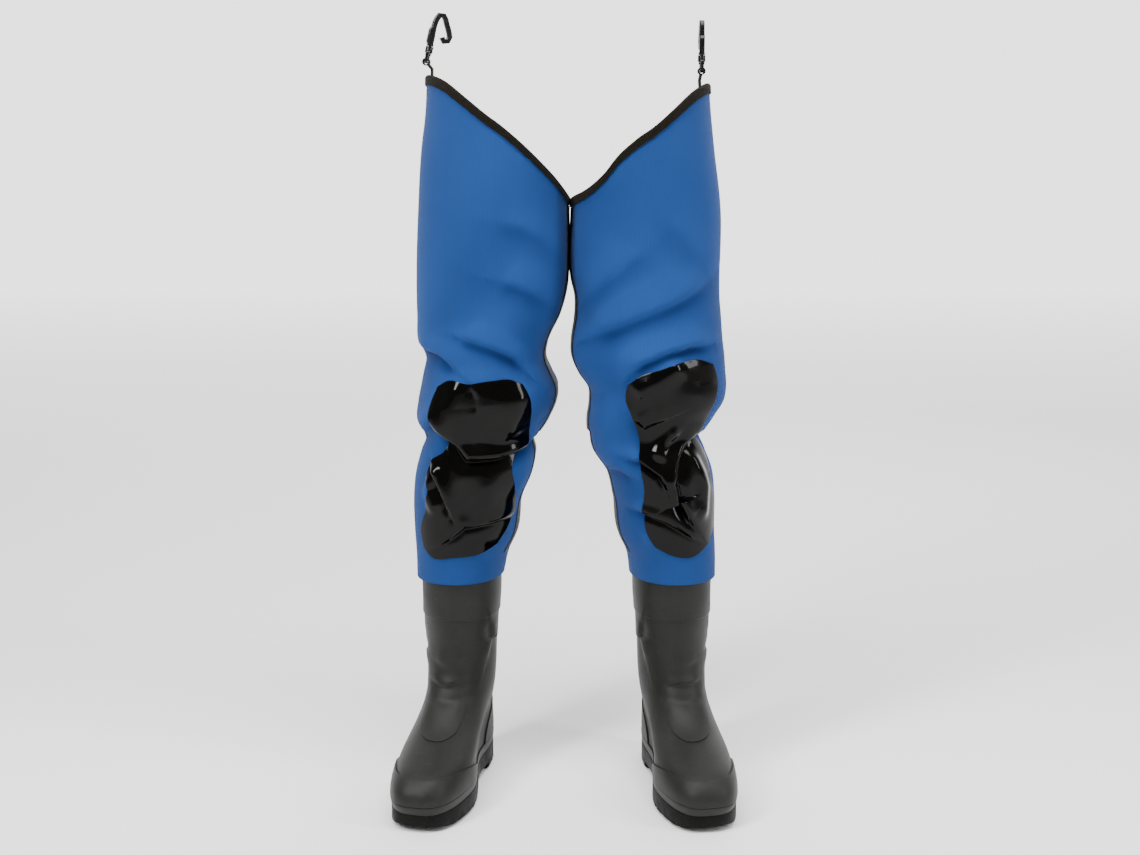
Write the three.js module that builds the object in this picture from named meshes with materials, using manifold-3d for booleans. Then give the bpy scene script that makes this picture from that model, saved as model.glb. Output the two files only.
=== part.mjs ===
// A pair of hip waders: two rubber boots, each with a foam-rubber leg that ends in a slanted, bound top,
// a knee patch, and a webbing tab that holds a swivelling belt hook.
// Millimetres, +Z up, toes towards -Y. The origin is on the floor, at the centre of the pair's outline.
import * as THREE from "three";
import { mergeVertices } from "three/addons/utils/BufferGeometryUtils.js";
import Module from "manifold-3d";

const wasm = await Module();
wasm.setup();

// ---------------------------------------------------------------- driving dimensions

const GAP = 0.35; // between pieces that touch
const BIG = 1000; // reach of a cutting block
const FORE_AFT = 55.4; // from the origin back to the boot shafts' axes
const ACROSS = 7.6; // from the origin to the plane where the legs meet

// How the two waders stand: from the legs' meeting plane to the boot shaft's axis, how far the outer peak is pulled
// up above the crotch and out to the side, and in degrees the foot's turn outwards, the tab's lean outwards, the
// clip's lean inwards and the hook's turn.
const STANCES = [
  { side: "right", sign: -1, spread: 149, rimRise: 164, flare: 4, toeOut: 14.5, tabLean: 38, lean: 14, turn: 20 },
  { side: "left", sign: 1, spread: 140, rimRise: 150, flare: -7, toeOut: 12, tabLean: 12, lean: 0, turn: 90 },
];
const MEAN_SPREAD = STANCES.reduce((sum, { spread }) => sum + spread / STANCES.length, 0);

// The boots
const BOOT_TOP = 318;
const BOOT_WALL = 4;
const SHAFT_FRONT = 59; // from the shaft's axis forwards, at its top
const TOE_REACH = 216; // from the shaft's axis to the upper's tip
const SOLE_EDGE = 3; // how far the outsole stands out past the upper
const SOLE_EDGE_RADIUS = 4;
const HEEL_THICK = 14;
const HEEL_BREAST = 6; // Y of the heel block's front face
const WAIST_FRONT = -62; // Y where the tread ends and the raised waist starts
const WAIST_RISE = 11;
const TOE_SPRING = 9; // rise of the sole's tip
const TOE_SPRING_LENGTH = 46;
const CLEAT_PITCH = 19;
const CLEAT_GROOVE = 6;
const CLEAT_DEPTH = 5;
const CENTRE_GROOVE = 5; // width of the tread's groove along the foot
const FOXING_HEIGHT = 12;
const FOXING_THICK = 2.2;
const BUMPER_HEIGHT = 30; // above the foxing, at the tip
const BUMPER_THICK = 2;
const BUMPER_BACK = -118; // Y where the bumper's top edge meets the foxing
const COUNTER_HEIGHT = 62; // above the foxing
const COUNTER_FRONT = 22; // Y of the counter's front edge at the foxing
const COUNTER_TOP_FRONT = 64; // and at its top
const COUNTER_THICK = 1.8;
const SPUR_REACH = 5; // the kick-off ledge behind the heel
const SPUR_WIDTH = 34;
const SPUR_THICK = 6;
const SPUR_PLACE = 0.65; // share of the counter's height
const SPUR_ROOT = 4; // how far the ledge's block starts inside the boot, before it is cut to fit
const INSTEP_WIDTH = 52;
const INSTEP_LOW = 92;
const INSTEP_HIGH = 150;
const INSTEP_ROUND = 22;
const INSTEP_THICK = 1.6;
const INSTEP_BACK = -30; // Y that the instep's overlay reaches round to
const CUFF_HEIGHT = 54;
const CUFF_THICK = 1.6;
const BOARD_THICK = 4; // the upper's own floor
const INSOLE_THICK = 4;
const INSOLE_SLACK = 1;

// The legs
const LEG_LENGTH = 482; // from the boot's top to the crotch
const WALL = 4.5; // foam rubber with cloth on both faces
const LAP = 30; // the leg's lower edge is glued over the boot's shaft
const HEM_CUT = 3; // the leg's hollow is carried on this far below its lower edge
const RIM_SPAN = 183;
const RIM_BACK_DROP = 0.12; // fall of the rim for each millimetre towards the back
const RIM_FRONT = -95; // Y where the rim has its full height
const BINDING_WIDTH = 8;
const BINDING_THICK = 1.5;
const TAPE_WIDTH = 16;
const TAPE_THICK = 0.9;
const SEAM_Y = -11; // the inseam lies a little before the leg's inner side
const SEAL_HEIGHT = 28; // tape inside the joint of leg and boot
const PAD_WIDTH = 118;
const PAD_ABOVE_BOOT = 4;
const PAD_HEIGHT = 250;
const PAD_ROUND = 42;
const PAD_THICK = 1.6;
const PAD_BACK = -22; // Y that the patch reaches round to

// The tab and the belt hook
const TAB_WIDTH = 20;
const TAB_THICK = 3; // two layers sewn together
const TAB_DROP = 34; // how far the tab is sewn down the leg
const TAB_Y = 5;
const TAB_RISE = 20; // length from the peak to the clip's bar
const TAB_INSET = 2; // from the binding's inner face, where the leg's wall curves
const BAR_THICK = 4; // the clip's bar is square
const TAB_EYE = BAR_THICK / Math.SQRT2 + 0.5; // radius of the eye that the bar turns in
const TAB_EYE_WALL = 1.5;
const TAB_NECK = 8; // from the peak up to where the tab starts to lean
const ARM_THICK = 3; // the clip's sides
const ARM_CLEARANCE = 1;
const CLIP_WINDOW = 9.5;
const CLIP_TOP_BAR = 3.5;
const CLIP_ROUND = 4;
const POST_RADIUS = 2.4;
const POST_CLEARANCE = 0.25;
const BOSS_RADIUS = POST_RADIUS + POST_CLEARANCE + 2.4;
const BOSS_RISE = 5; // above the clip's top bar
const POST_HEAD_RADIUS = POST_RADIUS + 1.6;
const POST_HEAD_THICK = 2.6;
const COLLAR_RADIUS = POST_RADIUS + 2;
const COLLAR_THICK = 3;
const HOOK_THICK = 7;
const HOOK_WIDTH = 6.5;
const HOOK_CORNER = 1.2;
// The hook's middle line, from the swivel's collar: out to the side, and up.
const HOOK_LINE = [
  [0, 0],
  [0, 10],
  [-0.5, 21],
  [0.5, 32],
  [4.5, 40],
  [10, 39],
  [15, 30.5],
  [20.5, 21],
  [23, 13.5],
  [20, 8.5],
  [15.2, 8.5],
  [13, 12.5],
];
// The shank's body: height above the collar's middle, and how far it reaches behind and before the middle line.
const SHANK_RINGS = [
  [0, 4, 3.2],
  [3, 6, 3.2],
  [19, 6, 3.2],
  [25, 2.5, 2.5],
];

const SEGMENTS = 24; // round a leg or a boot
const SOLE_SEGMENTS = 64;

// The boot's side view and width, from the sole's edge to the top of the shaft: how far forward the front is, as a
// share of the way to the toe, its height, back Y and height, half width, how full the ends are, and how much of
// the foot's outline it has. The heights are for a boot of the pattern's height, and grow with it.
const PATTERN_TOP = 318;
const RISE = BOOT_TOP / PATTERN_TOP;
const HEM = BOOT_TOP - LAP; // the leg's lower edge
const BOOT_RINGS = [
  [0.97, 24, 72, 33, 49, 0.62, 1],
  [1, 36, 76, 45, 50, 0.62, 1],
  [0.975, 52, 77, 59, 49.5, 0.64, 0.95],
  [0.87, 67, 76, 74, 48, 0.68, 0.85],
  [0.66, 81, 73, 90, 46, 0.74, 0.65],
  [0.4, 97, 69, 106, 45, 0.82, 0.4],
  [0.185, 119, 65, 124, 44, 0.92, 0.15],
  [0.06, 148, 63, 149, 44.5, 1, 0],
  [0, 189, 64, 189, 47, 1, 0],
  [0, 234, 66, 234, 50.2, 1, 0],
  [0, HEM / RISE, 67, HEM / RISE, 51.8, 1, 0],
  [0, PATTERN_TOP, 67, PATTERN_TOP, 52, 1, 0],
].map(([share, frontZ, backY, backZ, ...rest]) => {
  const frontY = -SHAFT_FRONT - share * (TOE_REACH - SHAFT_FRONT);
  return [frontY, frontZ * RISE, backY, backZ * RISE, ...rest];
});

// The leg above the boot: height as a share of its length, centre X and Y, half width and depth,
// how much of the foot's turn it has, and how much of the flare.
const LEG_ROWS = [
  [0.066, 133, 2, 67, 73, 0.7, 0],
  [0.17, 129.5, -2, 71.5, 77, 0.4, 0],
  [0.274, 121, -6, 75, 81, 0.1, 0],
  [0.378, 112.5, -8, 83, 86, 0, 0],
  [0.502, 109.5, -6, 91, 89, 0, 0],
  [0.627, 106, -2, 96, 92, 0, 0],
  [0.793, 100.7, 2, 98.4, 96, 0, 0],
  [0.96, 100.3, 4, 98, 98, 0, 0],
  [1.125, 95.3, 5, 93, 97, 0, 0.5],
  [1.45, 91.6, 6, 89.3, 95, 0, 1.5],
];

// ---------------------------------------------------------------- materials

const plain = (color, roughness, metalness = 0) =>
  new THREE.MeshStandardMaterial({ color, roughness, metalness });

const neoprene = () => plain(0x2f66ad, 0.85);
const blackTape = () => plain(0x0e1015, 0.6);
const bindingTape = () => plain(0x15140f, 0.75);
const patchRubber = () => plain(0x0a0a08, 0.15);
const bootRubber = () => plain(0x2c2d2a, 0.65);
const soleRubber = () => plain(0x0c0c0b, 0.7);
const insoleFelt = () => plain(0x3a3a38, 0.95);
const webbing = () => plain(0x14140f, 0.85);
const blackPlastic = () => plain(0x08080a, 0.35);

// ---------------------------------------------------------------- solids

// A closed mesh as a solid that can be cut and joined.
function solid(geometry) {
  const bare = geometry.clone();
  bare.deleteAttribute("normal");
  bare.deleteAttribute("uv");
  const merged = mergeVertices(bare, 1e-4);
  return new wasm.Manifold(
    new wasm.Mesh({
      numProp: 3,
      vertProperties: new Float32Array(merged.attributes.position.array),
      triVerts: new Uint32Array(merged.index.array),
    }),
  );
}

// A solid as a mesh that can be drawn, mirrored for the right wader.
function meshOf(name, body, material, mirrored = false) {
  const { vertProperties, triVerts } = body.getMesh();
  const geometry = new THREE.BufferGeometry();
  geometry.setAttribute("position", new THREE.BufferAttribute(vertProperties.slice(), 3));
  const corners = Array.from(triVerts);
  if (mirrored) {
    geometry.scale(-1, 1, 1);
    corners.reverse();
  }
  geometry.setIndex(corners);
  const faceted = geometry.toNonIndexed();
  faceted.computeVertexNormals();
  const mesh = new THREE.Mesh(faceted, material);
  mesh.name = name;
  return mesh;
}

// A closed body through rings that all have the same number of points, flat at both ends.
function loft(rings) {
  const count = rings[0].length;
  const points = rings.flat();
  const triangles = [];
  for (let r = 0; r + 1 < rings.length; r++)
    for (let j = 0; j < count; j++) {
      const a = r * count + j;
      const b = r * count + ((j + 1) % count);
      triangles.push(a, b, b + count, a, b + count, a + count);
    }
  const cap = (ring, first, flip) => {
    const middle = new THREE.Vector3();
    ring.forEach((p) => middle.add(p));
    points.push(middle.divideScalar(count));
    for (let j = 0; j < count; j++) {
      const pair = [first + j, first + ((j + 1) % count)];
      if (flip) pair.reverse();
      triangles.push(points.length - 1, ...pair);
    }
  };
  cap(rings[0], 0, true);
  cap(rings.at(-1), (rings.length - 1) * count, false);
  const geometry = new THREE.BufferGeometry().setFromPoints(points);
  geometry.setIndex(triangles);
  return geometry;
}

// A block between two corners, optionally moved by a matrix.
function block(low, high, matrix) {
  const size = high.map((v, i) => v - low[i]);
  const geometry = new THREE.BoxGeometry(...size);
  geometry.translate(...low.map((v, i) => (v + high[i]) / 2));
  if (matrix) geometry.applyMatrix4(matrix);
  return solid(geometry);
}

// A block that holds what is above a plane through two points of the side view.
function above([y0, z0], [y1, z1], height = BIG) {
  const tilt = new THREE.Matrix4().makeRotationX(Math.atan((z1 - z0) / (y1 - y0)));
  const matrix = new THREE.Matrix4().makeTranslation(0, y0, z0).multiply(tilt);
  return block([-BIG, -BIG, 0], [BIG, BIG, height], matrix);
}

// An outline in the front view as a block that runs along Y.
function frontPrism(shape, fromY, toY) {
  const settings = { depth: toY - fromY, bevelEnabled: false, curveSegments: 5 };
  const geometry = new THREE.ExtrudeGeometry(shape, settings);
  geometry.rotateX(Math.PI / 2);
  geometry.translate(0, toY, 0);
  return solid(geometry);
}

function cylinder(radius, low, high, sides = 16) {
  const geometry = new THREE.CylinderGeometry(radius, radius, high - low, sides);
  geometry.rotateX(Math.PI / 2);
  geometry.translate(0, 0, (low + high) / 2);
  return solid(geometry);
}

// A rectangle with round corners, centred on X = 0.
function roundedShape(width, low, high, radius) {
  const x = width / 2 - radius;
  const shape = new THREE.Shape();
  shape.moveTo(-x, low);
  shape.lineTo(x, low);
  shape.absarc(x, low + radius, radius, -Math.PI / 2, 0, false);
  shape.absarc(x, high - radius, radius, 0, Math.PI / 2, false);
  shape.absarc(-x, high - radius, radius, Math.PI / 2, Math.PI, false);
  shape.absarc(-x, low + radius, radius, Math.PI, 1.5 * Math.PI, false);
  return shape;
}

// A smooth curve through table rows, at a place counted in rows.
function between(rows, at) {
  const i = Math.min(Math.floor(at), rows.length - 2);
  const t = at - i;
  const row = (k) => rows[Math.min(Math.max(k, 0), rows.length - 1)];
  return rows[0].map((_, c) => {
    const [p, q, r, s] = [row(i - 1)[c], row(i)[c], row(i + 1)[c], row(i + 2)[c]];
    const bend = 2 * p - 5 * q + 4 * r - s;
    return q + (t * (r - p) + t * t * bend + t * t * t * (3 * (q - r) + s - p)) / 2;
  });
}

// A closed skin with a ring at each row of a surface, and each point moved out along the surface's normal.
function skin(point, rowCount, out) {
  const small = 0.01;
  const last = rowCount - 1;
  const rings = [];
  for (let at = 0; at <= last; at++) {
    const ring = [];
    for (let j = 0; j < SEGMENTS; j++) {
      const angle = (2 * Math.PI * j) / SEGMENTS;
      const around = point(at, angle + small).sub(point(at, angle - small));
      const higher = point(Math.min(at + small, last), angle);
      const along = higher.sub(point(Math.max(at - small, 0), angle));
      const normal = around.cross(along).normalize();
      ring.push(point(at, angle).addScaledVector(normal, out));
    }
    rings.push(ring);
  }
  return solid(loft(rings));
}

// ---------------------------------------------------------------- the boot

const radians = THREE.MathUtils.degToRad;
const smooth = (low, high, x) => THREE.MathUtils.smoothstep(x, low, high);

// The foot's outline against a plain oval, from heel to toe: narrow at the waist, wide at the ball.
function footWidth(t) {
  return 0.75 - 0.06 * Math.sin(Math.PI * smooth(0.1, 0.55, t)) + 0.35 * smooth(0.35, 0.72, t);
}

// How far the foot's middle line bends outwards, then in again at the toe.
function footBend(t) {
  return 2.5 * Math.sin(Math.PI * smooth(0.2, 0.8, t)) - 4 * smooth(0.45, 1, t);
}

// A point of the left boot's skin in its own frame: the shaft's axis at X = 0, and the foot along -Y.
function bootPoint(at, angle) {
  const [frontY, frontZ, backY, backZ, half, full, foot] = between(BOOT_RINGS, at);
  const t = (1 - Math.cos(angle)) / 2;
  const side = -Math.sin(angle);
  const width = half * (1 - foot + foot * footWidth(t));
  const reach = Math.sign(side) * Math.abs(side) ** full;
  return new THREE.Vector3(
    reach * width + foot * footBend(t),
    backY + (frontY - backY) * t,
    backZ + (frontZ - backZ) * t,
  );
}

const bootSkin = (out) => skin(bootPoint, BOOT_RINGS.length, out);
const bootSheet = (thick) => bootSkin(GAP + thick).subtract(bootSkin(GAP));

// The plane in which the upper meets the outsole: heights along the foot, and the slope.
const [FEATHER_TOE_Y, FEATHER_TOE_Z, FEATHER_HEEL_Y, FEATHER_HEEL_Z] = BOOT_RINGS[0];
const FEATHER_SLOPE = (FEATHER_HEEL_Z - FEATHER_TOE_Z) / (FEATHER_HEEL_Y - FEATHER_TOE_Y);
const featherZ = (y, raise = 0) => FEATHER_HEEL_Z + (y - FEATHER_HEEL_Y) * FEATHER_SLOPE + raise;
const FOXING_TOP = GAP + FOXING_HEIGHT;

// What lies between two heights above that plane.
function slab(low, high) {
  const [toe, heel] = [FEATHER_TOE_Y, FEATHER_HEEL_Y];
  return above([heel, featherZ(heel, low)], [toe, featherZ(toe, low)], high - low);
}

function bootUpper() {
  const cavity = bootSkin(-BOOT_WALL);
  const mouth = cavity.intersect(block([-BIG, -BIG, BOOT_TOP - 2 * BOOT_WALL], [BIG, BIG, BIG]));
  const hollow = cavity.intersect(slab(BOARD_THICK, BIG));
  return bootSkin(0).subtract(hollow).subtract(mouth.translate([0, 0, BOOT_WALL]));
}

function insole() {
  const low = BOARD_THICK + GAP;
  return bootSkin(-BOOT_WALL - INSOLE_SLACK).intersect(slab(low, low + INSOLE_THICK));
}

// The sole's whole body, from the floor to the upper, before the tread is cut.
function soleBody() {
  const ring = (out, height) => {
    const points = [];
    for (let j = 0; j < SOLE_SEGMENTS; j++) {
      const angle = (2 * Math.PI * j) / SOLE_SEGMENTS;
      const p = bootPoint(0, angle);
      const around = bootPoint(0, angle + 0.01).sub(bootPoint(0, angle - 0.01));
      p.addScaledVector(new THREE.Vector3(around.y, -around.x, 0).normalize(), out);
      p.z = height ?? featherZ(p.y, -GAP);
      points.push(p);
    }
    return points;
  };
  const rings = [ring(SOLE_EDGE - SOLE_EDGE_RADIUS, 0), ring(SOLE_EDGE, SOLE_EDGE_RADIUS), ring(SOLE_EDGE)];
  return solid(loft(rings));
}

// Grooves across the tread, each from the floor up.
function grooves(from, to) {
  const cuts = [];
  for (let y = from; y + CLEAT_GROOVE < to; y += CLEAT_PITCH)
    cuts.push(block([-BIG, y, -1], [BIG, y + CLEAT_GROOVE, CLEAT_DEPTH]));
  return cuts;
}

function heelBlock() {
  const body = soleBody().intersect(block([-BIG, HEEL_BREAST, -1], [BIG, BIG, HEEL_THICK]));
  const cuts = grooves(HEEL_BREAST + CLEAT_PITCH - CLEAT_GROOVE, FEATHER_HEEL_Y - CLEAT_GROOVE);
  return cuts.reduce((made, cut) => made.subtract(cut), body);
}

function outsole() {
  const tip = FEATHER_TOE_Y - SOLE_EDGE;
  const heelRoom = block([-BIG, HEEL_BREAST - GAP, -1], [BIG, BIG, HEEL_THICK + GAP]);
  const waistRoom = block([-BIG, WAIST_FRONT, -1], [BIG, HEEL_BREAST, WAIST_RISE]);
  const underToe = above([tip + TOE_SPRING_LENGTH, 0], [tip, TOE_SPRING]);
  const gutter = block(
    [-CENTRE_GROOVE / 2, tip + TOE_SPRING_LENGTH, -1],
    [CENTRE_GROOVE / 2, WAIST_FRONT + 1, CLEAT_DEPTH],
  );
  const cuts = grooves(tip + TOE_SPRING_LENGTH / 2, WAIST_FRONT - CLEAT_GROOVE);
  const body = soleBody().intersect(underToe).subtract(heelRoom).subtract(waistRoom).subtract(gutter);
  return cuts.reduce((made, cut) => made.subtract(cut), body);
}

const foxingStrip = () => bootSheet(FOXING_THICK).intersect(slab(GAP, FOXING_TOP));

function toeBumper() {
  const tip = FEATHER_TOE_Y;
  const top = above([BUMPER_BACK, featherZ(BUMPER_BACK, FOXING_TOP)], [tip, featherZ(tip, FOXING_TOP + BUMPER_HEIGHT)]);
  const front = block([-BIG, -BIG, 0], [BIG, BUMPER_BACK - 2 * GAP, BIG]);
  return bootSheet(BUMPER_THICK).intersect(slab(FOXING_TOP + GAP, BIG)).intersect(front).subtract(top);
}

// The counter wraps the heel; its front edges lean back to its top, and the kick-off ledge stands on it.
function heelCounter() {
  const top = featherZ(FEATHER_HEEL_Y, FOXING_TOP + COUNTER_HEIGHT);
  const front = above([COUNTER_FRONT, featherZ(COUNTER_FRONT, FOXING_TOP)], [COUNTER_TOP_FRONT, top]);
  const ledgeTop = top - (1 - SPUR_PLACE) * COUNTER_HEIGHT;
  const ledge = block(
    [-SPUR_WIDTH / 2, FEATHER_HEEL_Y - SPUR_ROOT, ledgeTop - SPUR_THICK],
    [SPUR_WIDTH / 2, FEATHER_HEEL_Y + SPUR_ROOT + COUNTER_THICK + SPUR_REACH, ledgeTop],
  ).subtract(bootSkin(GAP));
  const wrap = bootSheet(COUNTER_THICK)
    .intersect(slab(FOXING_TOP + GAP, BIG))
    .intersect(block([-BIG, 0, 0], [BIG, BIG, top]))
    .subtract(front);
  return wrap.add(ledge);
}

function instepPatch() {
  const shape = roundedShape(INSTEP_WIDTH, INSTEP_LOW, INSTEP_HIGH, INSTEP_ROUND);
  return bootSheet(INSTEP_THICK).intersect(frontPrism(shape, -BIG, INSTEP_BACK));
}

function shaftCuff() {
  const top = HEM - GAP;
  return bootSheet(CUFF_THICK).intersect(block([-BIG, -BIG, top - CUFF_HEIGHT], [BIG, BIG, top]));
}

// ---------------------------------------------------------------- the leg

// The leg of one stance: its rows start round the boot's shaft, a gap outside it.
function legRows({ spread, toeOut, flare }) {
  const lap = BOOT_RINGS.slice(-2).map(([frontY, z, backY, , half]) => {
    const middle = (frontY + backY) / 2;
    const turn = radians(toeOut);
    const out = WALL + 2 * GAP;
    return [
      z,
      spread - middle * Math.sin(turn),
      middle * Math.cos(turn),
      half + out,
      (backY - frontY) / 2 + out,
      toeOut,
    ];
  });
  const free = LEG_ROWS.map(([share, x, y, half, deep, turn, flared]) => [
    BOOT_TOP + share * LEG_LENGTH,
    x + (spread - MEAN_SPREAD) * turn + (flare * flared) / 2,
    y,
    half + (flare * flared) / 2,
    deep,
    turn * toeOut,
  ]);
  return [...lap, ...free];
}

// The solids that the leg's pieces are cut from.
function legMaker(stance) {
  const rows = legRows(stance);
  const point = (at, angle) => {
    const [z, x, y, half, deep, turn] = between(rows, at);
    const p = new THREE.Vector3(-half * Math.sin(angle), deep * Math.cos(angle), 0);
    p.applyAxisAngle(new THREE.Vector3(0, 0, 1), radians(turn));
    return p.add(new THREE.Vector3(x, y, z));
  };
  const legSkin = (out) => skin(point, rows.length, out);
  // A wall between two distances from the leg's skin, open at both ends.
  const wall = (outer, inner) => {
    const hollow = legSkin(inner);
    const mouth = hollow.intersect(block([-BIG, -BIG, 0], [BIG, BIG, HEM + HEM_CUT + 1])).translate([0, 0, -HEM_CUT]);
    return legSkin(outer).subtract(hollow).subtract(mouth);
  };
  // Everything under the slanted rim, raised by so much.
  const underRim = (raise) => {
    const matrix = new THREE.Matrix4()
      .makeTranslation(0, RIM_FRONT, BOOT_TOP + LEG_LENGTH)
      .multiply(new THREE.Matrix4().makeRotationX(-Math.atan(RIM_BACK_DROP)))
      .multiply(new THREE.Matrix4().makeRotationY(-Math.atan(stance.rimRise / RIM_SPAN)));
    return block([-BIG, -BIG, -2 * BIG], [BIG, BIG, raise], matrix);
  };
  return { wall, underRim, rows };
}

const legTube = ({ wall, underRim }) => wall(0, -WALL).intersect(underRim(0));

function topBinding({ wall, underRim }) {
  const out = GAP + BINDING_THICK;
  const core = wall(GAP, -WALL - GAP).intersect(underRim(GAP));
  return wall(out, -WALL - out).intersect(underRim(out)).subtract(underRim(-BINDING_WIDTH)).subtract(core);
}

// Tape over the inseam, from the binding down to the boot.
function inseamTape({ wall, underRim, rows }) {
  const low = rows[1][0] + GAP;
  const strip = block([-BIG, SEAM_Y - TAPE_WIDTH / 2, low], [rows[2][1], SEAM_Y + TAPE_WIDTH / 2, BIG]);
  return wall(GAP + TAPE_THICK, GAP).intersect(strip).intersect(underRim(-BINDING_WIDTH - GAP));
}

function kneePatch({ wall, rows }) {
  const low = BOOT_TOP + PAD_ABOVE_BOOT;
  const shape = roundedShape(PAD_WIDTH, low, low + PAD_HEIGHT, PAD_ROUND);
  const middle = (rows[3][1] + rows[5][1]) / 2;
  return wall(GAP + PAD_THICK, GAP).intersect(frontPrism(shape, -BIG, PAD_BACK).translate([middle, 0, 0]));
}

// Tape on the leg's inner face, just above the boot's top, that seals the joint from inside.
function sealTape({ wall }) {
  const band = block([-BIG, -BIG, BOOT_TOP + GAP], [BIG, BIG, BOOT_TOP + SEAL_HEIGHT]);
  return wall(-WALL - GAP, -WALL - GAP - TAPE_THICK).intersect(band);
}

// ---------------------------------------------------------------- tab, clip and hook

// The tab is sewn inside the leg's outer side over the binding; the clip's bar turns in the eye at its top.
function tabPlace(stance) {
  const [low, high] = legRows(stance).slice(-2);
  // How far out the leg's outer face is at a height near the peak.
  const legOuter = (z) => {
    const t = (z - low[0]) / (high[0] - low[0]);
    return (1 - t) * (low[1] + low[3]) + t * (high[1] + high[3]);
  };
  const peak = BOOT_TOP + LEG_LENGTH + stance.rimRise - RIM_BACK_DROP * (TAB_Y - RIM_FRONT);
  const x = legOuter(peak) - WALL - GAP - BINDING_THICK - TAB_INSET - TAB_THICK / 2;
  const lean = radians(stance.tabLean);
  // The neck is where the tab starts to lean, and the foot its sewn end, both from the bar in the front view.
  const neck = new THREE.Vector2(-Math.sin(lean), -Math.cos(lean)).multiplyScalar(TAB_RISE - TAB_NECK);
  const outwards = new THREE.Vector2(0, TAB_NECK).sub(neck);
  const slant = legOuter(peak - TAB_DROP) - legOuter(peak);
  const foot = new THREE.Vector2(slant, -TAB_DROP).sub(outwards);
  return { bar: new THREE.Vector3(x + outwards.x, TAB_Y, peak + outwards.y), neck, foot, lean };
}

function webbingTab({ bar, neck, foot, lean }) {
  const half = TAB_THICK / 2;
  const outer = TAB_EYE + TAB_EYE_WALL;
  const down = -Math.PI / 2 - lean;
  const meet = Math.asin(half / outer);
  const across = new THREE.Vector2(Math.cos(lean), -Math.sin(lean)).multiplyScalar(half);
  const shape = new THREE.Shape();
  shape.moveTo(foot.x - half, foot.y);
  shape.lineTo(foot.x + half, foot.y);
  shape.lineTo(neck.x + across.x, neck.y + across.y);
  shape.absarc(0, 0, outer, down + meet, down + 2 * Math.PI - meet, false);
  shape.lineTo(neck.x - across.x, neck.y - across.y);
  shape.closePath();
  const eye = new THREE.Path();
  eye.absarc(0, 0, TAB_EYE, 0, 2 * Math.PI, true);
  shape.holes.push(eye);
  const settings = { depth: TAB_WIDTH, bevelEnabled: false, curveSegments: 10 };
  const geometry = new THREE.ExtrudeGeometry(shape, settings);
  geometry.rotateX(Math.PI / 2);
  geometry.translate(0, TAB_WIDTH / 2, 0);
  return solid(geometry).translate(bar.toArray());
}

const WINDOW_WIDTH = TAB_WIDTH + 2 * ARM_CLEARANCE;
const WINDOW_TOP = BAR_THICK / 2 + CLIP_WINDOW;
const BOSS_TOP = WINDOW_TOP + CLIP_TOP_BAR + BOSS_RISE;

// The clip's frame, upright with its bar's middle at the origin: the window takes the webbing.
function clipFrame() {
  const shape = roundedShape(
    WINDOW_WIDTH + 2 * ARM_THICK,
    -BAR_THICK / 2,
    WINDOW_TOP + CLIP_TOP_BAR,
    CLIP_ROUND,
  );
  const settings = { depth: BAR_THICK, bevelEnabled: false, curveSegments: 3 };
  const frame = new THREE.ExtrudeGeometry(shape, settings);
  frame.rotateX(Math.PI / 2);
  frame.rotateZ(Math.PI / 2);
  frame.translate(-BAR_THICK / 2, 0, 0);
  const window = block([-BIG, -WINDOW_WIDTH / 2, BAR_THICK / 2], [BIG, WINDOW_WIDTH / 2, WINDOW_TOP]);
  const boss = cylinder(BOSS_RADIUS, WINDOW_TOP, BOSS_TOP);
  const bore = cylinder(POST_RADIUS + POST_CLEARANCE, WINDOW_TOP - 1, BOSS_TOP + 1);
  return solid(frame).subtract(window).add(boss).subtract(bore);
}

// The hook with its post, in the clip's frame; the post's head keeps it in the boss.
function beltHook() {
  const seat = BOSS_TOP + GAP;
  const neck = seat + COLLAR_THICK;
  const line = HOOK_LINE.map(([x, z]) => new THREE.Vector3(x, 0, neck - 1 + z));
  const [w, t, c] = [HOOK_WIDTH / 2, HOOK_THICK / 2, HOOK_CORNER];
  const section = new THREE.Shape();
  [[-w, c - t], [c - w, -t], [w - c, -t], [w, c - t], [w, t - c], [w - c, t], [c - w, t], [-w, t - c]].forEach(
    ([x, y], i) => (i ? section.lineTo(x, y) : section.moveTo(x, y)),
  );
  section.closePath();
  const curve = new THREE.CatmullRomCurve3(line, false, "centripetal");
  const swept = new THREE.ExtrudeGeometry(section, { steps: 16, extrudePath: curve, bevelEnabled: false });
  const shank = loft(
    SHANK_RINGS.map(([z, back, front]) =>
      [[-back, c - t], [c - back, -t], [front - c, -t], [front, c - t], [front, t - c], [front - c, t], [c - back, t], [-back, t - c]].map(
        ([x, y]) => new THREE.Vector3(x, y, neck - 1 + z),
      ),
    ),
  );
  const head = cylinder(POST_HEAD_RADIUS, WINDOW_TOP - GAP - POST_HEAD_THICK, WINDOW_TOP - GAP);
  const post = cylinder(POST_RADIUS, WINDOW_TOP - 2 * GAP, seat + GAP);
  const collar = cylinder(COLLAR_RADIUS, seat, neck);
  return solid(swept).add(solid(shank)).add(collar).add(post).add(head);
}

// ---------------------------------------------------------------- the pair

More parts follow.
